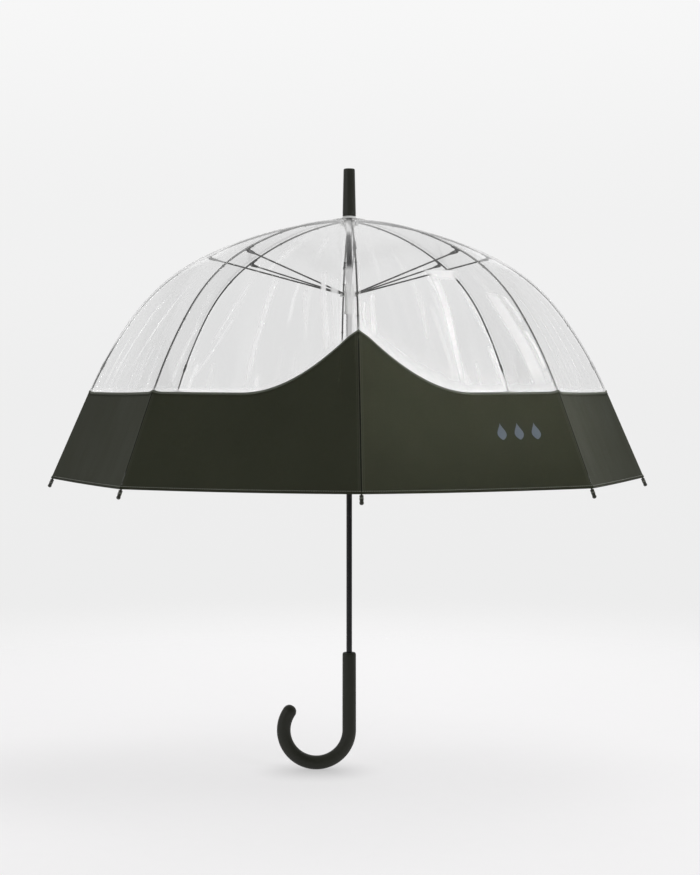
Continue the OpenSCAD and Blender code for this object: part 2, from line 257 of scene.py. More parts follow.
def surface(n, side, s, w, out=0.0):
    """Points on the film beside rib n. w is 0 on the rib and 1 in the middle of the gore."""
    s, w, out = np.broadcast_arrays(*(np.asarray(x, float) for x in (s, w, out)))
    r, z, slope = profile(s)
    radial, tangent, up = directions(n)
    tangent = tangent * side
    gore_way = radial * math.cos(HALF) + tangent * math.sin(HALF)
    base = (
        (r * (1 - w * math.sin(HALF) ** 2))[..., None] * radial
        + (r * w * math.sin(HALF) * math.cos(HALF))[..., None] * tangent
        + z[..., None] * up
    )
    tilt = np.arctan(np.tan(slope) / math.cos(HALF))
    normal = np.sin(tilt)[..., None] * gore_way + np.cos(tilt)[..., None] * up
    lift = relief(gore_of(n, side), across_gore(w, side), s)[0]
    return base + normal * (lift + out)[..., None]


def band_top(n, side, w):
    """Where the band's top edge is, down the rib: level, or climbing to the peak at rib 1."""
    w = np.asarray(w, float)
    gore = gore_of(n, side)
    s = np.full_like(w, float(s_at(BAND_Z)))
    if gore in (1, RIBS):
        toward = across_gore(w, side) * (-1 if gore == 1 else 1)
        for _ in range(30):  # the gore's width depends on s, so this settles on the edge
            y = toward * profile(s)[0] * math.sin(HALF)
            rise = PEAK_RISE * (np.clip(y - PEAK_FOOT_Y, 0, 1) / (PEAK_Y - PEAK_FOOT_Y)) ** 2
            s = 0.5 * s + 0.5 * s_at(BAND_Z + rise)
    near_rib = w * profile(s)[0] * math.sin(HALF)
    if n == 1:
        return s + PEAK_DIP[0] * np.exp(-((near_rib / PEAK_DIP[1]) ** 2))
    return s - SEAM_RISE[0] * np.exp(-((near_rib / SEAM_RISE[1]) ** 2))


# ---- meshes ----


class Shape:
    """Collects the faces of one mesh."""

    def __init__(self):
        self.points, self.faces, self.slots = [], [], []

    def add(self, points, faces, slot=0):
        """Adds faces, whose material is the one in that slot."""
        first = len(self.points)
        self.points.extend([tuple(map(float, p)) for p in points])
        for face in faces:
            self.faces.append([first + i for i in face])
            self.slots.append(slot)

    def loft(self, rings, slot=0, ends=(True, True), closed=False):
        """Skins rings of equally many points. closed joins the last ring to the first."""
        rings = np.asarray(rings, float)
        count, around = rings.shape[:2]
        faces = []
        for i in range(count if closed else count - 1):
            j = (i + 1) % count
            for k in range(around):
                m = (k + 1) % around
                faces.append([i * around + k, i * around + m, j * around + m, j * around + k])
        if not closed and ends[0]:
            faces.append(list(range(around))[::-1])
        if not closed and ends[1]:
            faces.append([(count - 1) * around + k for k in range(around)])
        self.add(rings.reshape(-1, 3), faces, slot)

    def grid(self, points):
        """Skins rows of equally many points."""
        rows, cols = points.shape[:2]
        faces = [
            [i * cols + j, i * cols + j + 1, (i + 1) * cols + j + 1, (i + 1) * cols + j]
            for i in range(rows - 1) for j in range(cols - 1)
        ]
        self.add(points.reshape(-1, 3), faces)

    def build(self, name, materials, angle):
        """Makes the object, smooth except where its faces turn by more than angle degrees."""
        mesh = bpy.data.meshes.new(name)
        mesh.from_pydata(self.points, [], self.faces)
        for m in materials:
            mesh.materials.append(m)
        mesh.polygons.foreach_set("material_index", self.slots)
        mesh.update()
        smooth(mesh, angle)
        obj = bpy.data.objects.new(name, mesh)
        bpy.context.scene.collection.objects.link(obj)
        return obj


def smooth(mesh, angle):
    mesh.polygons.foreach_set("use_smooth", [True] * len(mesh.polygons))
    if angle < 180:
        mesh.set_sharp_from_angle(angle=math.radians(angle))


def circle(count):
    """Angles of count points round a circle."""
    return np.linspace(0, 2 * math.pi, count, endpoint=False)


def rounded(half_w, half_h, count):
    """Points round a soft-cornered rectangle."""
    power = 0.6  # 1 would be an ellipse, 0 a sharp rectangle
    c, s = np.cos(circle(count)), np.sin(circle(count))
    return np.stack([half_w * np.sign(c) * np.abs(c) ** power,
                     half_h * np.sign(s) * np.abs(s) ** power], 1)


def tube_rings(path, radii, sides, across):
    """Rings round a path that lies in a plane, whose normal is across."""
    path, radii = np.asarray(path, float), np.broadcast_to(np.asarray(radii, float), len(path))
    along = np.gradient(path, axis=0)
    along /= np.linalg.norm(along, axis=1)[:, None]
    across = np.asarray(across, float)
    up = np.cross(along, across)
    angles = circle(sides)
    ring = np.cos(angles)[None, :, None] * up[:, None] + np.sin(angles)[None, :, None] * across
    return path[:, None] + radii[:, None, None] * ring


def basis(origin, x, z):
    """A matrix that puts a shape's own X and Z along x and z, at origin."""
    m = Matrix.Identity(4)
    for i, axis in enumerate((x, np.cross(z, x), z)):
        for j in range(3):
            m[j][i] = axis[j]
    m.translation = Vector(origin)
    return np.array(m)


def in_mm(pairs):
    return [(a * MM, b * MM) for a, b in pairs]


def lathe_rings(profile_rz, sides, m=None):
    """Rings of (radius, height) round Z, then moved by the matrix m."""
    rings = np.array([[(r * math.cos(a), r * math.sin(a), z) for a in circle(sides)]
                      for r, z in profile_rz])
    return rings if m is None else rings @ m[:3, :3].T + m[:3, 3]


def plate_rings(outline, thickness, bevel, m):
    """A flat plate with bevelled edges, from an outline in its own XY plane, moved by m."""
    outline = np.asarray(outline, float)
    nxt, prv = np.roll(outline, -1, 0), np.roll(outline, 1, 0)
    way = nxt - prv
    way /= np.linalg.norm(way, axis=1)[:, None] + 1e-12
    inward = np.stack([-way[:, 1], way[:, 0]], 1)
    small = outline + inward * bevel
    h = thickness / 2
    layers = [(small, -h), (outline, -h + bevel), (outline, h - bevel), (small, h)]
    rings = np.array([[(x, y, z) for x, y in flat] for flat, z in layers])
    return rings @ m[:3, :3].T + m[:3, 3]


def stadium(length, r0, r1):
    """An outline along X with round ends, of radius r0 at 0 and r1 at length."""
    right = np.linspace(-math.pi / 2, math.pi / 2, 10)
    left = np.linspace(math.pi / 2, 3 * math.pi / 2, 10)
    return [(length + r1 * math.cos(a), r1 * math.sin(a)) for a in right] + [
        (r0 * math.cos(a), r0 * math.sin(a)) for a in left
    ]


def on_rib(n, s, drop=0.0):
    """Point, direction down the rib and outward normal, drop metres inside the film."""
    radial, _, up = directions(n)
    r, z, slope = (float(x) for x in profile(s))
    outward = radial * math.sin(slope) + up * math.cos(slope)
    down = radial * math.cos(slope) - up * math.sin(slope)
    return radial * r + up * z - outward * drop, down, outward


# ---- materials ----


def srgb(*colour):
    """A linear colour from one in 0 to 255, each above 10."""
    return tuple(((c / 255 + 0.055) / 1.055) ** 2.4 for c in colour) + (1,)


class Nodes:
    """A short way to write the nodes of a material, or of the world."""

    def __init__(self, name, data="materials", output="ShaderNodeOutputMaterial"):
        self.owner = getattr(bpy.data, data).new(name)
        self.owner.use_nodes = True
        self.tree = self.owner.node_tree
        self.tree.nodes.clear()
        self.out = self.tree.nodes.new(output)

    def new(self, kind, settings=None, output=0, **inputs):
        """A new node's output. Its inputs are named, with _ for a space, or numbered, as _0."""
        node = self.tree.nodes.new(kind)
        for key, value in (settings or {}).items():
            setattr(node, key, value)
        for key, value in inputs.items():
            socket = node.inputs[int(key[1:]) if key[0] == "_" else key.replace("_", " ")]
            if isinstance(value, bpy.types.NodeSocket):
                self.tree.links.new(value, socket)
            else:
                socket.default_value = value
        return node.outputs[output]

    def math(self, operation, a, b, clamp=False):
        settings = {"operation": operation, "use_clamp": clamp}
        return self.new("ShaderNodeMath", settings, _0=a, _1=b)

    def length(self, vector):
        settings = {"operation": "LENGTH"}
        return self.new("ShaderNodeVectorMath", settings, "Value", _0=vector)

    def ramp(self, value, low, high, a=0.0, b=1.0, kind="LINEAR"):
        """a where value is low, b where it is high."""
        return self.new("ShaderNodeMapRange", {"interpolation_type": kind}, Value=value,
                        From_Min=low, From_Max=high, To_Min=a, To_Max=b)

    def noise(self, vector, scale, detail, roughness=0.5):
        return self.new("ShaderNodeTexNoise", Vector=vector, Scale=scale, Detail=detail,
                        Roughness=roughness)

    def stretch(self, vector, scale, shift=(0, 0, 0)):
        """vector scaled, then shifted."""
        return self.new("ShaderNodeMapping", Vector=vector, Location=shift, Scale=scale)

    def mix(self, factor, a, b, way="MIX"):
        settings = {"data_type": "RGBA", "blend_type": way}
        return self.new("ShaderNodeMix", settings, 2, _0=factor, _6=a, _7=b)

    def blend(self, factor, a, b):
        """One shader over another."""
        return self.new("ShaderNodeMixShader", _0=factor, _1=a, _2=b)

    def bump(self, height, distance, strength):
        return self.new("ShaderNodeBump", Height=height, Distance=distance, Strength=strength)

    def marks_and_painted_light(self):
        """The film's haze and painted highlights, or the band's seams with their painted shade and
        highlight.
        """
        return self.new("ShaderNodeAttribute", {"attribute_name": "marks_and_painted_light"}, "Fac")

    def place(self):
        return self.new("ShaderNodeTexCoord", output="Object")

    def film_place(self):
        """Metres across the gore and down the rib."""
        return self.new("ShaderNodeUVMap", {"uv_map": "film"})

    def finish(self, shader):
        self.tree.links.new(shader, self.out.inputs["Surface"])
        return self.owner


def clear_film():
    """Clear film with a gloss, which greys towards its edges, and whitens where its marks lie:
    real haze at the welds and the gathered crown, and painted highlights and glare along creases
    and edges.
    """
    m = Nodes("clear_film")
    uv = m.film_place()
    head_on, edge_on = (0.934, 0.935, 0.935, 1), (0.80, 0.80, 0.80, 1)
    white = (0.98, 0.98, 0.98, 1)
    soft = m.noise(m.stretch(uv, (26, 4, 1)), 1, 0, 0.4)
    bump = m.bump(soft, 0.0016, 0.3)
    gloss = m.new("ShaderNodeBsdfGlossy", Color=(1, 1, 1, 1), Roughness=0.14, Normal=bump)
    through = m.new("ShaderNodeBsdfTranslucent", Color=white)
    facing = m.new("ShaderNodeBsdfDiffuse", Color=white)
    scatter = m.blend(0.25, through, facing)
    edge = m.new("ShaderNodeLayerWeight", output="Facing", Blend=0.5)
    depth = m.mix(m.math("POWER", edge, 2.5), head_on, edge_on)
    clear = m.new("ShaderNodeBsdfTransparent", Color=depth)
    drawn = m.noise(m.stretch(uv, (55, 4, 1)), 1, 0, 0.5)  # streaks down the sheet
    # the marks from the mesh: real haze, with painted highlights and glare that whiten the film
    marks_and_painted_light = m.math("ADD", m.marks_and_painted_light(), m.ramp(drawn, 0.4, 0.75, 0.0, 0.07), clamp=True)
    rim = m.math("MULTIPLY", m.math("POWER", edge, 5), 0.45)
    return m.finish(m.blend(m.math("ADD", rim, 0.035, clamp=True), m.blend(marks_and_painted_light, clear, scatter),
                            gloss))


def band_film(name, base, worn):
    """The band's dark coated fabric: a fine weave, slow drape, and dark seams with a light line:
    painted shade down each seam's groove and a painted highlight line beside it.
    """
    m = Nodes(name)
    uv = m.film_place()
    threads = [
        m.new("ShaderNodeTexWave", {"wave_type": "BANDS", "bands_direction": way}, "Fac",
              Vector=uv, Scale=520, Distortion=0.6, Detail=1)
        for way in ("X", "Y")
    ]
    weave = m.math("MULTIPLY", m.math("ADD", *threads), 0.5)
    cloud = m.noise(m.stretch(uv, (14, 9, 1)), 1, 4, 0.55)
    drape = m.noise(m.stretch(uv, (38, 5, 1)), 1, 2, 0.5)
    tone = m.math("ADD", m.ramp(cloud, 0.3, 0.7, 0.0, 0.35), m.math("MULTIPLY", weave, 0.25))
    colour = m.mix(tone, srgb(*base), srgb(*worn))
    seam = m.marks_and_painted_light()
    # painted highlight: a light line beside each seam
    colour = m.mix(m.ramp(seam, 0.10, 0.30, 0.0, 0.25), colour, srgb(112, 114, 104))
    # painted shade: a dark line down each seam's groove
    colour = m.mix(m.ramp(seam, 0.45, 0.75), colour, srgb(20, 21, 16))
    height = m.math("ADD", m.math("MULTIPLY", weave, 0.05), drape)
    bump = m.bump(height, 0.0016, 0.35)
    rough = m.ramp(cloud, 0.3, 0.7, 0.55, 0.66)
    return m.finish(m.new("ShaderNodeBsdfPrincipled", Base_Color=colour, Roughness=rough, IOR=1.42,
                          Specular_IOR_Level=0.05, Normal=bump))


def simple(name, base, worn, roughness, grain, bump=0.00006, metallic=0.0, **more):
    """A moulded or painted surface: fine grain, slow colour change and slight wear."""
    m = Nodes(name)
    place = m.place()
    fine = m.noise(place, grain, 3, 0.6)
    slow = m.noise(place, 18, 3, 0.5)
    worn_at = m.math("ADD", m.ramp(slow, 0.42, 0.68, 0.0, 0.6), m.ramp(fine, 0.5, 0.8, 0.0, 0.35))
    colour = m.mix(m.math("MINIMUM", worn_at, 1.0), srgb(*base), srgb(*worn))
    rough = m.ramp(slow, 0.3, 0.7, roughness - 0.05, roughness + 0.06)
    return m.finish(m.new("ShaderNodeBsdfPrincipled", Base_Color=colour, Roughness=rough,
                          Metallic=metallic, Normal=m.bump(fine, bump, 0.6), **more))


def collar_film():
    """The film where it is gathered: cloudy, with a coarse crinkle."""
    m = Nodes("collar_film")
    noise = m.noise(m.place(), 400, 3)
    gloss = m.new("ShaderNodeBsdfPrincipled", Base_Color=(0.80, 0.80, 0.79, 1), Roughness=0.2,
                  Normal=m.bump(noise, 0.0004, 0.5))
    clear = m.new("ShaderNodeBsdfTransparent", Color=(0.90, 0.90, 0.895, 1))
    return m.finish(m.blend(m.ramp(noise, 0.3, 0.7, 0.35, 0.6), clear, gloss))


FILM = clear_film()
COLLAR = collar_film()
BAND = band_film("band_film", (50, 52, 41), (59, 61, 49))
TRIM = band_film("band_trim", (44, 46, 36), (60, 62, 50))
# A lighter copy of the band for its top binding: a painted highlight along the binding's fold.
BINDING_HIGHLIGHT = band_film("band_edge", (92, 95, 86), (108, 111, 101))
THREAD = simple("sewing_thread", (118, 120, 111), (140, 142, 132), 0.7, grain=1400)
TIE = simple("tie_thread", (72, 73, 68), (96, 97, 92), 0.6, grain=1400)
RUBBER = simple("handle_rubber", (33, 34, 27), (39, 40, 32), 0.55, grain=1500, bump=0.00005,
                Specular_IOR_Level=0.3)
FERRULE = simple("ferrule_plastic", (47, 48, 42), (54, 55, 49), 0.5, grain=700,
                 Specular_IOR_Level=0.3)
TIPS = simple("tip_plastic", (44, 45, 38), (56, 57, 49), 0.34, grain=900)
ENAMEL = simple("shaft_enamel", (17, 17, 18), (25, 25, 26), 0.34, grain=500, bump=0.00002,
                Specular_IOR_Level=0.4)
ROD = simple("rod_enamel", (58, 58, 56), (76, 76, 73), 0.34, grain=900, bump=0.00002)
PALE = simple("pale_plastic", (226, 227, 225), (236, 237, 235), 0.30, grain=500, bump=0.00003,
              Transmission_Weight=0.12)
WIRE = simple("wire_steel", (120, 120, 120), (150, 150, 150), 0.3, grain=900, metallic=0.9)
SNAP = simple("snap_metal", (92, 90, 84), (140, 138, 132), 0.3, grain=900, metallic=0.9)
PRINT = simple("drop_print", (86, 94, 106), (98, 106, 118), 0.55, grain=1100)

# ---- how the canopy's pieces move ----

SEGMENTS = ("rib_inner", "rib_mid", "rib_outer")


def fold(obj, n, segment):
    """obj rides on that length of rib n, in a mesh of its own.
    """
    low, high = SEGMENT_ENDS[segment], SEGMENT_ENDS[segment + 1]
    (r0, r1), (z0, z1) = profile(np.array([low, high]))[:2]
    mid_r, mid_z = (float(x) for x in profile((low + high) / 2)[:2])
    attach(obj, f"{SEGMENTS[segment]}_{n}")
    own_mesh(obj)


def finish_sheet(obj, n, side, s, w, marks_and_painted_light):
    """Adds the film's own coordinates, its marks with their painted light, and its true normals.
    """
    mesh = obj.data
    u = side * (w - 1) * half_width(s) + gore_of(n, side)
    layer = mesh.uv_layers.new(name="film")
    corner = np.empty(len(mesh.loops), np.int32)
    mesh.loops.foreach_get("vertex_index", corner)
    uv = np.stack([u.reshape(-1)[corner], s.reshape(-1)[corner]], 1)
    layer.data.foreach_set("uv", uv.reshape(-1).astype(np.float32))
    mark = mesh.attributes.new("marks_and_painted_light", "FLOAT", "POINT")
    mark.data.foreach_set("value", marks_and_painted_light.reshape(-1).astype(np.float32))
    step = 0.4 * MM
    down = surface(n, side, s + step, w) - surface(n, side, s - step, w)
    over = surface(n, side, s, w + 0.004) - surface(n, side, s, w - 0.004)
    normal = np.cross(over, down) * side
    normal /= np.linalg.norm(normal, axis=2)[:, :, None]
    up = np.sign((normal * UP).sum(2))[:, :, None]
    normal = normal * np.where(up == 0, 1, up)
    mesh.normals_split_custom_set_from_vertices(normal.reshape(-1, 3).tolist())


def columns(count):
    """w of the columns across half a gore, closer together beside the rib."""
    t = np.linspace(0, 1, count)
    return 0.6 * t + 0.4 * t * t


def line(x, place, width):
    """How near x is to place: 1 there, and fading over about width on both sides."""
    return np.exp(-(((x - place) / width) ** 2))


def film_marks_and_painted_light(n, side, s, w):
    """How milky the film is, and where light is painted on it: painted highlights along creases,
    the weld beside the rib, the gathered crown, and painted glare along its edges.
    """
    gore, near = gore_of(n, side), w * half_width(s)
    creases = relief(gore, across_gore(w, side), s)[1]
    weld = 0.42 * line(near, 3.4 * MM, 1.1 * MM) * ease((s - 0.05) / 0.15)
    band = band_top(n, side, w[0])[None, :]
    edge = np.clip(band - s, 0, 1)
    # painted glare: the film is whitened just above the band's top edge, most of all up the peak
    # of gore 1
    glow = 0.6 * np.exp(-((edge / 0.005) ** 1.5))
    if gore == 1:
        climb = ease((float(s_at(BAND_Z)) - band) / 0.012)
        glow = (0.45 + 0.4 * climb) * np.exp(-((edge / 0.017) ** 1.3))
    gather = 0.55 * np.exp(-s / 0.06)
    painted_light_wash = 0.0
    if n in (3, 7):  # the outermost ribs, which light washes over
        # a painted wash of light along these ribs, widest part way down
        wide = 5 * MM + 9 * MM * line(s, 0.2, 0.035)
        fade = ease((0.40 - s) / 0.05) if n == 7 else 0.9 - 0.25 * ease((s - 0.3) / 0.1)
        painted_light_wash = line(near, wide, wide) * fade
    return np.clip(np.maximum(creases, glow) + weld + gather + painted_light_wash, 0, 1)


def band_seam_shade_and_highlight(s, w):
    """Where the band is painted dark along its seam, as shade in its groove, with a painted
    highlight line beside it.
    """
    near = w * half_width(s)
    return line(near, 0, 1.4 * MM) + 0.2 * line(near, 3.9 * MM, 0.8 * MM)


def panel(name, n, side, segment, top, low, rows, cols, film=True):
    """Half a gore of film or band, between the lines top and low down rib n, as a taut sheet."""
    w = columns(cols)[None, :]
    t = np.linspace(0, 1, rows)[:, None]
    top, low = np.broadcast_to(top, w[0].shape), np.broadcast_to(low, w[0].shape)
    s = top[None, :] * (1 - t) + low[None, :] * t
    w = np.broadcast_to(w, s.shape)
    points = surface(n, side, s, w, 0.0 if film else BAND_OUT)
    shape = Shape()
    shape.grid(points)
    obj = shape.build(name, [FILM if film else BAND], 180)
    if side > 0:
        obj.data.flip_normals()
    finish_sheet(obj, n, side, s, w, film_marks_and_painted_light(n, side, s, w) if film else band_seam_shade_and_highlight(s, w))
    fold(obj, n, segment)
    return obj


def edging(shape, n, side, s_line, width, thickness, slot):
    """A folded edge or binding along a line across half a gore, as a soft-cornered strip."""
    w = columns(40)[:, None]
    ring = rounded(width / 2, thickness / 2, 12)
    shape.loft(surface(n, side, s_line(w) + ring[:, 0], w, ring[:, 1]), slot)


def stitches(shape, n, side, s_line, out, slot, length=1.9 * MM):
    """A line of small thread stitches lying on the band."""
    half_chord = float(half_width(s_line(np.array([0.5])))[0])
    count = int(half_chord / STITCH_PITCH)
    w = (np.arange(count) + 0.5) / count
    dw = length / 2 / half_chord
    s = s_line(w)
    across = np.array([-0.45, 0.45, 0.45, -0.45]) * MM
    over = np.array([-0.1, -0.1, 0.24, 0.24]) * MM
    for i in range(count):
        rings = []
        for at, size in ((-1, 0.5), (-0.5, 1), (0.5, 1), (1, 0.5)):
            rings.append(surface(n, side, s[i] + across * size, np.full(4, w[i] + at * dw),
                                 out + over * size))
        shape.loft(rings, slot)


BAND_OUT = 0.15 * MM  # how far the band lies outside the film's line
OVERLAP = 1.5 * MM  # how far the film runs in behind the band
STITCH_PITCH = 3.1 * MM


def build_half_gore(n, side, hand):
    """The three pieces of film, the band and its edges, beside rib n."""
    gore, ends = gore_of(n, side), SEGMENT_ENDS
    tag = f"{gore}{hand}"
    cols, rows = (150, 44) if gore in (1, RIBS) else (80, 30)

    def top_line(drop):
        return lambda w: band_top(n, side, w) + drop

    def hem_line(rise):
        return lambda w: np.full_like(w, RIB_LEN - rise)

    edge = band_top(n, side, columns(cols))
    panel(f"film_upper_{tag}", n, side, 0, 0.0, ends[1], rows + 14, cols)
    panel(f"film_middle_{tag}", n, side, 1, ends[1], ends[2], rows, cols)
    film = panel(f"film_lower_{tag}", n, side, 2, ends[2], edge + OVERLAP, rows, cols)
    band = panel(f"band_{tag}", n, side, 2, edge, RIB_LEN - 1.2 * MM, 30, cols, film=False)
    if hand == "a":
        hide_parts(f"clear_panel_{gore}")
        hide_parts(f"band_panel_{gore}")
    hem = Shape()
    edging(hem, n, side, hem_line(2.2 * MM), 4.4 * MM, 1.5 * MM, 0)
    # the top binding, in the lighter copy: a painted highlight along its fold
    edging(hem, n, side, top_line(0.6 * MM), 3.0 * MM, 1.3 * MM, 2)
    stitches(hem, n, side, hem_line(3.5 * MM), 0.78 * MM, 1)
    stitches(hem, n, side, top_line(4.0 * MM), 0.40 * MM, 0, 2.3 * MM)
    trim = hem.build(f"band_trim_{tag}", [TRIM, THREAD, BINDING_HIGHLIGHT], 50)
    fold(trim, n, 2)


COLLAR_R = 0.024


def build_collar():
    """The film's gathered collar under the ferrule, with 24 small pleats."""
    shape = Shape()
    rings, angles = [], circle(192)
    for r in np.concatenate([np.linspace(0.0078, 0.0115, 5), np.linspace(0.0125, COLLAR_R, 12)]):
        spread = np.clip((r - 0.0085) / 0.010, 0, 1)
        drop = math.tan(math.radians(CROWN_SLOPE)) * (r - RING_R)
        pleat = np.sin(24 * angles) * 0.55 * MM * math.sin(math.pi * min(1, spread * 0.62 + 0.05))
        wander = 1 + 0.03 * np.sin(5 * angles + 1) * spread
        z = FILM_Z + 1.6 * MM - drop - 0.9 * MM * spread + pleat
        rings.append(np.stack([r * wander * np.cos(angles), r * wander * np.sin(angles), z], 1))
    shape.loft(rings, ends=(False, False))
    obj = shape.build("crown_collar", [COLLAR], 180)
    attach(obj, "root")


# ---- ribs and stretchers ----

RODS_MEET = 0.265  # how far down a rib its two modelled rods meet
LUG_R = 0.19401  # how far from the shaft the lug sits on its rib
LUG_S = float(np.interp(LUG_R, profile(LINE_S)[0], LINE_S))
LUG_DROP = 2.6 * MM
EYE = (1.52 * MM, 0.74 * MM)  # the eyes' radius, and their wire's
BEND_REACH = 0.028  # how far each side of a flex hinge the rod bends
TIES = (0.052, 0.128, 0.246, 0.345, 0.52)  # where the film is tied to the rods
LONG_TIE = 0.412  # and where some ribs have a long tie
TIE_PITCH = 0.55 * MM


def torus(shape, centre, major, minor, x, y, sides, around, slot=0):
    """A ring in the plane of x and y."""
    axis = np.cross(x, y)
    rings = []
    for a in circle(sides):
        out = x * math.cos(a) + y * math.sin(a)
        rings.append([centre + out * (major + minor * math.cos(b)) + axis * minor * math.sin(b)
                      for b in circle(around)])
    shape.loft(rings, slot, closed=True)


def thread_tie(shape, n, s, turns=3, swell=0.1 * MM):
    """Turns of thread that tie the film's seam to the rod, with a knot inside."""
    tangent = directions(n)[1]
    for k in range(turns):
        centre, _, outward = on_rib(n, s + (k - (turns - 1) / 2) * TIE_PITCH, ROD_DROP)
        grow = swell * (1 + math.sin(2.1 * k)) / 2
        torus(shape, centre, ROD_R + 0.12 * MM + grow, 0.24 * MM, tangent, outward, 18, 6, 1)
    centre, down, _ = on_rib(n, s, ROD_DROP + ROD_R + 0.35 * MM)
    bead = in_mm([(0.05, -0.9), (0.6, -0.5), (0.7, 0.1), (0.1, 0.8)])
    shape.loft(lathe_rings(bead, 8, basis(centre, tangent, down)), 1)


def joint_place(name):
    return np.array(JOINTS[name]["pos_m"], float)


def bend(rod, n, k, hinge):
    """Bakes the rod's transform into its mesh, at the flex hinge between lengths k - 1 and k of
    rib n; the rod is not bent.
    """
    reach = Vector(on_rib(n, SEGMENT_ENDS[k])[1]) * BEND_REACH
    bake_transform(rod)


def settle(obj, node, body=None):
    """A rigid piece that takes the place of a CAD node, and rides on body or that node's own."""
    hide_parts(node)
    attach(obj, body or node)


def rod_path(n, start, end, count):
    return [on_rib(n, float(s), ROD_DROP)[0] for s in np.linspace(start, end, count)]


def build_rods(n):
    """The rib's springy rod in two pieces, with its eye and the ties that hold the film."""
    radial, tangent, up = directions(n)
    hinge = joint_place(f"rib_fold_{n}")
    inner = Shape()
    torus(inner, hinge, *EYE, radial, up, 28, 12)
    arm = [hinge + (on_rib(n, 0.006, ROD_DROP)[0] - hinge) * 0.42]
    arm += [on_rib(n, s, ROD_DROP)[0] for s in (0.0062, 0.0085, 0.011)]
    inner.loft(tube_rings(arm, [0.8 * MM, 0.95 * MM, 1.1 * MM, ROD_R], 14, tangent))
    inner.loft(tube_rings(rod_path(n, 0.0105, RODS_MEET, 90), ROD_R, 14, tangent))
    for s in TIES[:3]:
        thread_tie(inner, n, s)
    rod = inner.build(f"rod_upper_{n}", [ROD, TIE], 50)
    bend(rod, n, 1, "rib_flex_upper")

    outer = Shape()
    path = rod_path(n, RODS_MEET - 0.5 * MM, RIB_LEN + 0.004, 120)
    outer.loft(tube_rings(path, ROD_R * 0.985, 14, tangent))
    if 3 <= n <= 7:
        thread_tie(outer, n, LONG_TIE, 22, 0.45 * MM)
    for s in TIES[3:]:
        thread_tie(outer, n, s)
    low = outer.build(f"rod_lower_{n}", [ROD, TIE], 50)
    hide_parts(f"rib_mid_{n}")
    bend(low, n, 2, "rib_flex_lower")


def build_lug(n):
    """The crimped sleeve that carries the stretcher's rivet."""
    tangent = directions(n)[1]
    joint, down = joint_place(f"stretcher_pin_{n}"), on_rib(n, LUG_S)[1]
    centre = on_rib(n, LUG_S, LUG_DROP)[0]
    reach = float(np.linalg.norm(centre - joint))
    toward = (centre - joint) / reach
    crimp = [(1.25, 8), (1.62, 7.9), (1.88, 7.3), (1.88, 4.6), (1.66, 4.0), (1.66, 3.4),
             (1.88, 2.8)]
    sleeve = [(r, -z) for r, z in crimp] + crimp[::-1]
    lug = Shape()
    lug.loft(lathe_rings(in_mm(sleeve), 20, basis(centre, tangent, down)))
    lug.loft(plate_rings(stadium(reach - 0.4 * MM, 2.2 * MM, 1.5 * MM), 1.6 * MM, 0.25 * MM,
                         basis(joint, toward, tangent)))
    settle(lug.build(f"rib_lug_{n}", [ROD], 40), f"rib_inner_{n}")


def build_tip(n):
    """The cap on the rib's foot, with the thread that sews the band to it."""
    tangent = directions(n)[1]
    foot, down, outward = on_rib(n, RIB_LEN, ROD_DROP)
    cap = [(1.3, 0.4), (2.15, 0.6), (2.55, 1.1), (2.6, 1.9), (2.35, 2.5), (2.3, 3.0), (2.45, 3.6),
           (2.5, 6.2), (2.3, 7.4), (2.2, 8.0), (2.45, 8.9), (2.68, 9.8), (2.66, 10.6),
           (2.35, 11.5), (1.75, 12.15), (0.9, 12.5), (0.2, 12.58)]
    tip = Shape()
    tip.loft(lathe_rings(in_mm(cap), 28, basis(foot, tangent, down)))
    for k in (4.2, 4.8, 5.4):
        torus(tip, foot + down * k * MM, 2.5 * MM, 0.2 * MM, tangent, outward, 24, 6, 1)
    settle(tip.build(f"rib_tip_{n}", [TIPS, THREAD], 40), f"rib_outer_{n}")


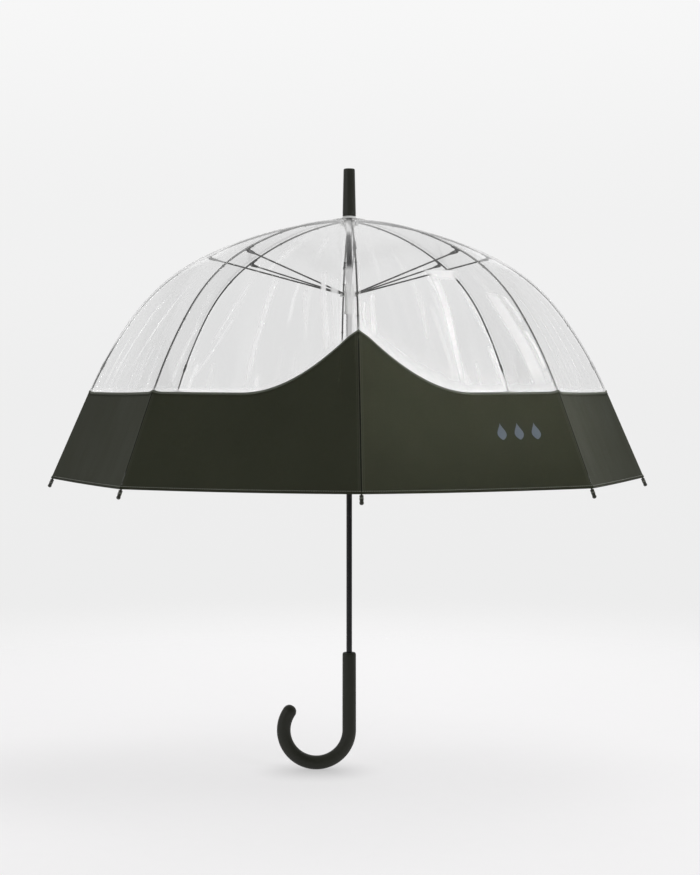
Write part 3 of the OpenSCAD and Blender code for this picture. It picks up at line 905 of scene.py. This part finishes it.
def build_stretcher(n):
    """A rod from its eye on the runner's ring to a fork riveted to the rib's lug."""
    radial, tangent, up = directions(n)
    joint = joint_place(f"stretcher_pin_{n}")
    ring = radial * RING_R + up * RUNNER_Z
    length = float(np.linalg.norm(joint - ring))
    along = (joint - ring) / length
    over = np.cross(along, tangent)
    shape = Shape()
    path = [ring + along * d * MM for d in (3.6, 5.0, 8.0, 11.0)]
    path += [ring + along * (length - d * MM) for d in (14, 10, 8)]
    radii = [r * MM for r in (0.7, 0.8, 1.0, 1.1, 1.1, 1.45, 1.5)]
    shape.loft(tube_rings(path, radii, 14, tangent))
    torus(shape, ring, *EYE, along, over, 28, 12)
    shape.loft(tube_rings([ring + along * d * MM for d in (1.9, 3.0, 4.4)],
                          [0.8 * MM, 0.78 * MM, 0.75 * MM], 12, tangent))
    ear_y = (0.8 + 0.3 + 0.55) * MM  # half the lug, the play, and half an ear
    ear = stadium(7.5 * MM, 2.1 * MM, 1.5 * MM)
    for way in (-1, 1):
        shape.loft(plate_rings(ear, 1.1 * MM, 0.2 * MM,
                               basis(joint + tangent * way * ear_y, -along, tangent)))
    bridge = rounded(1.6 * MM, ear_y + 0.5 * MM, 16)
    rings = []
    for d, k in ((7.0, 0.92), (7.4, 1), (9.2, 1), (9.8, 0.9)):
        centre = joint - along * d * MM
        rings.append([centre + over * x * k + tangent * y * k for x, y in bridge])
    shape.loft(rings)
    head = in_mm([(0.75, 0), (1.5, 0.02), (1.45, 0.3), (1.1, 0.55), (0.5, 0.68), (0.05, 0.7)])
    for way in (-1, 1):
        base = joint + tangent * way * (ear_y + 0.5 * MM)
        shape.loft(lathe_rings(head, 20, basis(base, along, tangent * way)), 1)
    shape.loft(lathe_rings([(0.75 * MM, -ear_y), (0.75 * MM, ear_y)], 16,
                           basis(joint, along, tangent)), 1)
    settle(shape.build(f"stretcher_rod_{n}", [ROD, WIRE], 40), f"stretcher_{n}")


# ---- handle, ferrule and the carried-over nodes ----

RUNNER_Z = sum(corner.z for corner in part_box("runner_wire")) / 2
GRIP_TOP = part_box("crook_handle")[1].z
GRIP_BOTTOM = -GRIP_TOP
CROOK_R = 0.046
CROOK_TURN = math.radians(214)
GRIP_R = 9.5 * MM
CROOK_TUBE_R = 9.65 * MM


def build_handle():
    """The moulded grip and crook: a shoulder, a straight grip, a hook and a round end."""
    path, radii = [], []
    shoulder = [(8.05, 0.0), (8.4, 0.25), (8.8, 0.7), (9.17, 1.6), (9.45, 2.6), (9.5, 3.4)]
    for r, drop in in_mm(shoulder):
        path.append((0, 0, GRIP_TOP - drop))
        radii.append(r)
    for z in np.linspace(GRIP_TOP - 0.006, GRIP_BOTTOM, 40):
        path.append((0, 0, z))
        radii.append(GRIP_R + (CROOK_TUBE_R - GRIP_R) * (GRIP_TOP - z) / (GRIP_TOP - GRIP_BOTTOM))
    for a in np.linspace(0, CROOK_TURN, 120)[1:]:
        path.append((-CROOK_R + CROOK_R * math.cos(a), 0, GRIP_BOTTOM - CROOK_R * math.sin(a)))
        radii.append(CROOK_TUBE_R)
    end, before = np.array(path[-1]), np.array(path[-2])
    way = (end - before) / np.linalg.norm(end - before)
    for a in np.linspace(0, math.pi / 2, 14)[1:]:
        path.append(tuple(end + way * CROOK_TUBE_R * math.sin(a)))
        radii.append(max(0.25 * MM, CROOK_TUBE_R * math.cos(a) ** 0.9))
    shape = Shape()
    shape.loft(tube_rings(path, radii, 56, (0, 1, 0)), ends=(False, True))
    mouth = [(8.05, 0.0), (5.2, -0.02), (4.75, -0.5), (4.75, -3.0)]
    shape.loft(lathe_rings([(r, GRIP_TOP + z) for r, z in in_mm(mouth)], 56), ends=(False, False))
    settle(shape.build("crook_grip", [RUBBER], 60), "crook_handle", "root")


def build_ferrule():
    """The tapered cap, with a bead and a groove at its base and a rounded tip."""
    low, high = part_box("ferrule")
    length = high.z - low.z
    base, tip, tip_round = (high.x - low.x) / 2, 7.9 * MM, 1.6 * MM
    bead = [(0.6, 0.0), (0.12, 0.2), (0.0, 0.7), (0.02, 2.2), (0.35, 2.45), (0.4, 2.9), (0.1, 3.3)]
    outline = [(4.1 * MM, 0.0)] + [(base - inset, z) for inset, z in in_mm(bead)]
    taper = [(3.9 * MM + (length - 5.6 * MM) * t) for t in np.linspace(0, 1, 22)]
    outline += [(base + (tip - base) * z / length, z) for z in taper]
    outline += [(tip - tip_round * (1 - math.cos(a)), length - tip_round * (1 - math.sin(a)))
                for a in np.linspace(0.1, math.pi / 2, 9)]
    outline += [(3.0 * MM, length), (0.3 * MM, length)]
    shape = Shape()
    shape.loft(lathe_rings([(r, low.z + z) for r, z in outline], 64), ends=(False, True))
    settle(shape.build("ferrule_cap", [FERRULE], 40), "ferrule", "root")


def dress(node, material):
    """Gives a carried-over CAD node its finish."""
    obj = frame["nodes"][node]
    obj.data.materials.clear()
    obj.data.materials.append(material)
    smooth(obj.data, 30)


STRAP = (5, 1)  # the strap's rib, and its side
STRAP_PLACE = -0.070  # how far the strap's middle is from mid-gore
STRAP_ENDS = (RIB_LEN - 0.120, RIB_LEN - 0.0125)
STRAP_HALF = 0.008
STRAP_THICK = 1.0 * MM
STRAP_SEAM = 0.0062  # how far its two seams are from its middle


def on_strap(s, across, out, further=0.0):
    """Points on the strap, which bows away from the band between its ends."""
    top, bottom = STRAP_ENDS
    bow = (0.9 + 1.6 * math.sin(math.pi * (s - top) / (bottom - top)) ** 2) * MM
    w = 1 + (STRAP_PLACE + across) / float(half_width(s))
    return surface(*STRAP, s + further, w, bow + out)


def build_strap():
    """The strap that ties the closed umbrella, down the outside of gore 5 beside rib 5."""
    (n, side), (top, bottom) = STRAP, STRAP_ENDS
    shape, rings = Shape(), []
    for t in np.linspace(0, 1, 40):
        end = min(1.0, math.sqrt(max(0.0, 1 - max(0.0, (t - 0.93) / 0.07) ** 2)) + 0.02)
        ring = rounded(STRAP_HALF * end, STRAP_THICK / 2, 20)
        rings.append(on_strap(top + (bottom - top) * t, ring[:, 0], ring[:, 1]))
    shape.loft(rings)
    stitch = np.array([(-0.22, -0.1), (0.22, -0.1), (0.22, 0.2), (-0.22, 0.2)]) * MM
    for seam in (-STRAP_SEAM, STRAP_SEAM):
        for s in np.linspace(top + 0.003, bottom - 0.005, 30):
            shape.loft([on_strap(s, seam + stitch[:, 0], STRAP_THICK / 2 + stitch[:, 1], at)
                        for at in (-1.0 * MM, 0.0, 1.0 * MM)], 1)
    strap = shape.build("closing_strap", [TRIM, THREAD], 50)
    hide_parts("tie_strap")
    fold(strap, n, 2)

    low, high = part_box("strap_snap")
    slope = STATIONS[-1][2]
    tilt = math.atan2(math.sin(slope), math.cos(slope) * math.cos(HALF))
    gore_way, tangent, up = directions(n, HALF)
    out = gore_way * math.sin(tilt) + up * math.cos(tilt)
    head = [(1.0, -0.8), (5.4, -0.8), (5.5, -0.35), (5.2, 0.1), (4.4, 0.45), (3.6, 0.35),
            (3.2, 0.15), (2.2, 0.3), (1.2, 0.45), (0.2, 0.5)]
    shape = Shape()
    shape.loft(lathe_rings(in_mm(head), 36, basis(np.array((low + high) / 2), tangent, out)))
    snap = shape.build("strap_stud", [SNAP], 40)
    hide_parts("strap_snap")
    fold(snap, n, 2)


def build_print():
    """Three plain raindrops, printed on the band where a printed mark usually goes."""
    n, side, middle, place = 2, -1, RIB_LEN - 0.079, 0.52
    half_drop, tall, pitch = 6.2 * MM, 23 * MM, 24 * MM
    shape = Shape()
    for k in (-1, 0, 1):
        rows = []
        for t in np.linspace(0.02, 0.98, 16):
            wide = half_drop * math.sin(math.pi * t ** 1.55) ** 0.9
            across = k * pitch + np.linspace(-wide, wide, 9)
            s = middle - tall / 2 + tall * t
            w = place + across / float(half_width(middle))
            rows.append(surface(n, side, s, w, 0.32 * MM))
        shape.grid(np.array(rows))
    drops = shape.build("drop_prints", [PRINT], 180)
    fold(drops, n, 2)


# ---- floor, light and camera ----

FLOOR_Z = cad_box[0][2] - 0.1 * MM
FLOOR_COLOURS = ((0.237, 0.234, 0.236, 1), (0.228, 0.225, 0.227, 1))
FLOOR_GLOW = 0.662  # the light of its own that keeps the floor as pale as the backdrop
FLOOR_FADE = (0.6, 2.35)  # where the floor starts and ends fading into the backdrop
# The soft shade round the crook's foot: scale and shift of its place, size, and level within.
WIDE_SHADE = ((2.2, 5.4, 1), (0.55, 0.29, 0), 2.0, 0.918)
NEAR_SHADE = ((17, 20, 1), (0.76, 0.2, 0), 1.7, 0.80)


def build_floor():
    """A pale matt floor that fades out into the backdrop."""
    m = Nodes("studio_floor")
    place = m.place()
    grain = m.noise(place, 40, 2)
    colour = m.mix(m.ramp(grain, 0.35, 0.65, 0.0, 0.4), *FLOOR_COLOURS)
    shade = m.math("MULTIPLY", *(
        m.ramp(m.length(m.stretch(place, scale, shift)), 0.0, size, level, 1.0, "SMOOTHSTEP")
        for scale, shift, size, level in (WIDE_SHADE, NEAR_SHADE)))
    matt = m.new("ShaderNodeBsdfDiffuse", Color=m.mix(shade, (0, 0, 0, 1), colour))
    glow = m.new("ShaderNodeEmission", Color=(0.98, 0.975, 0.98, 1),
                 Strength=m.math("MULTIPLY", shade, FLOOR_GLOW))
    clear = m.new("ShaderNodeBsdfTransparent", Color=(1, 1, 1, 1))
    fade = m.ramp(m.ramp(m.length(place), *FLOOR_FADE), 0.0, 1.0, kind="SMOOTHERSTEP")
    solid = m.new("ShaderNodeAddShader", _0=matt, _1=glow)
    material = m.finish(m.blend(fade, solid, clear))
    shape = Shape()
    shape.loft(lathe_rings([(r, 0) for r in (0.002, 0.5, 1.5, 2.4)], 64), ends=(True, False))
    floor = shape.build("studio_floor", [material], 180)
    floor.location.z = FLOOR_Z


def build_world():
    """Grey light that is strongest from behind, and a pale backdrop that only the camera sees."""
    m = Nodes("studio", "worlds", "ShaderNodeOutputWorld")
    place = m.new("ShaderNodeTexCoord", output="Generated")
    _, front, up = m.new("ShaderNodeSeparateXYZ", _0=place).node.outputs

    def ramp(value, stops):
        """Grey levels, eased between stops of value from -1 to 1."""
        node = m.new("ShaderNodeValToRGB", _0=m.ramp(value, -1.0, 1.0)).node
        node.color_ramp.interpolation = "EASE"
        while len(node.color_ramp.elements) < len(stops):
            node.color_ramp.elements.new(0.5)
        for element, (at, level) in zip(node.color_ramp.elements, stops):
            element.position = (at + 1) / 2
            element.color = (level, level, level, 1)
        return node.outputs["Color"]

    backdrop = [(-0.4, 0.875), (-0.12, 0.845), (-0.02, 0.855), (0.08, 0.88), (0.25, 0.94)]
    front_to_back = [(-0.9, 0.10), (-0.2, 0.18), (0.3, 0.62), (0.8, 1.0)]
    floor_to_top = [(-0.3, 0.8), (0.1, 0.9), (0.6, 1.15)]
    lit = m.mix(1.0, ramp(front, front_to_back), ramp(up, floor_to_top), "MULTIPLY")
    seen = m.new("ShaderNodeLightPath", output="Is Camera Ray")
    colour = m.mix(seen, lit, ramp(up, backdrop))
    bpy.context.scene.world = m.finish(m.new("ShaderNodeBackground", Color=colour))


def aimed(name, data, place, target):
    """An object at place that looks at target."""
    obj = bpy.data.objects.new(name, data)
    obj.location = place
    obj.rotation_mode = "QUATERNION"
    obj.rotation_quaternion = (Vector(target) - Vector(place)).to_track_quat("-Z", "Y")
    bpy.context.scene.collection.objects.link(obj)
    return obj


# Name, place, target, width, height, watts, and whether gloss mirrors it.
SOFTBOXES = (
    ("key_right", (1.7, -2.1, 1.3), (0, 0, 0.4), 0.9, 1.8, 32, False),
    ("strip_left", (-2.2, -1.2, 0.9), (0, 0, 0.45), 0.35, 1.7, 13, True),
    ("top_box", (0.5, 0.4, 2.6), (0, 0, 0.3), 1.8, 1.8, 22, False),
    ("back_sheet", (0, 2.4, 0.9), (0, 0, 0.45), 2.6, 1.9, 38, False),
    ("accent_right", (2.35, -1.6, 0.58), (0.115, -0.31, 0.466), 0.45, 0.08, 0.32, False),
)


def build_lights():
    for name, place, target, width, height, watts, mirrored in SOFTBOXES:
        data = bpy.data.lights.new(name, "AREA")
        data.shape = "RECTANGLE"
        data.size, data.size_y, data.energy = width, height, watts
        if name == "accent_right":  # a grid keeps it to the right front gore
            data.spread = math.radians(10)
        light = aimed(name, data, place, target)
        light.visible_camera = False
        light.visible_glossy = mirrored


CAMERA_AWAY = 2.554
CAMERA_Z = 0.4187
CAMERA_TURN = math.radians(2.0)  # how far left of the front it stands
CAMERA_DIP = math.radians(1.398)  # how far down it looks


def build_camera():
    data = bpy.data.cameras.new("camera")
    data.lens, data.sensor_width = 75.04, 36.0
    data.clip_start, data.clip_end = 0.05, 60
    place = (-math.sin(CAMERA_TURN) * CAMERA_AWAY, -math.cos(CAMERA_TURN) * CAMERA_AWAY, CAMERA_Z)
    target = (0.0011, 0, CAMERA_Z - CAMERA_AWAY * math.tan(CAMERA_DIP))
    bpy.context.scene.camera = aimed("camera", data, place, target)


for rib in range(1, RIBS + 1):
    build_half_gore(rib, 1, "a")
    build_half_gore(rib, -1, "b")
build_collar()
for rib in range(1, RIBS + 1):
    build_rods(rib)
    build_lug(rib)
    build_tip(rib)
    build_stretcher(rib)
build_handle()
build_ferrule()
build_strap()
build_print()
dress("shaft", ENAMEL)
for hub in ("runner", "top_notch", "crown_washer"):
    dress(hub, PALE)
for wire in ("notch_wire", "runner_wire", "top_spring", "bottom_spring"):
    dress(wire, WIRE)
build_floor()
build_world()
build_lights()
build_camera()
bpy.context.scene.view_settings.view_transform = "Standard"
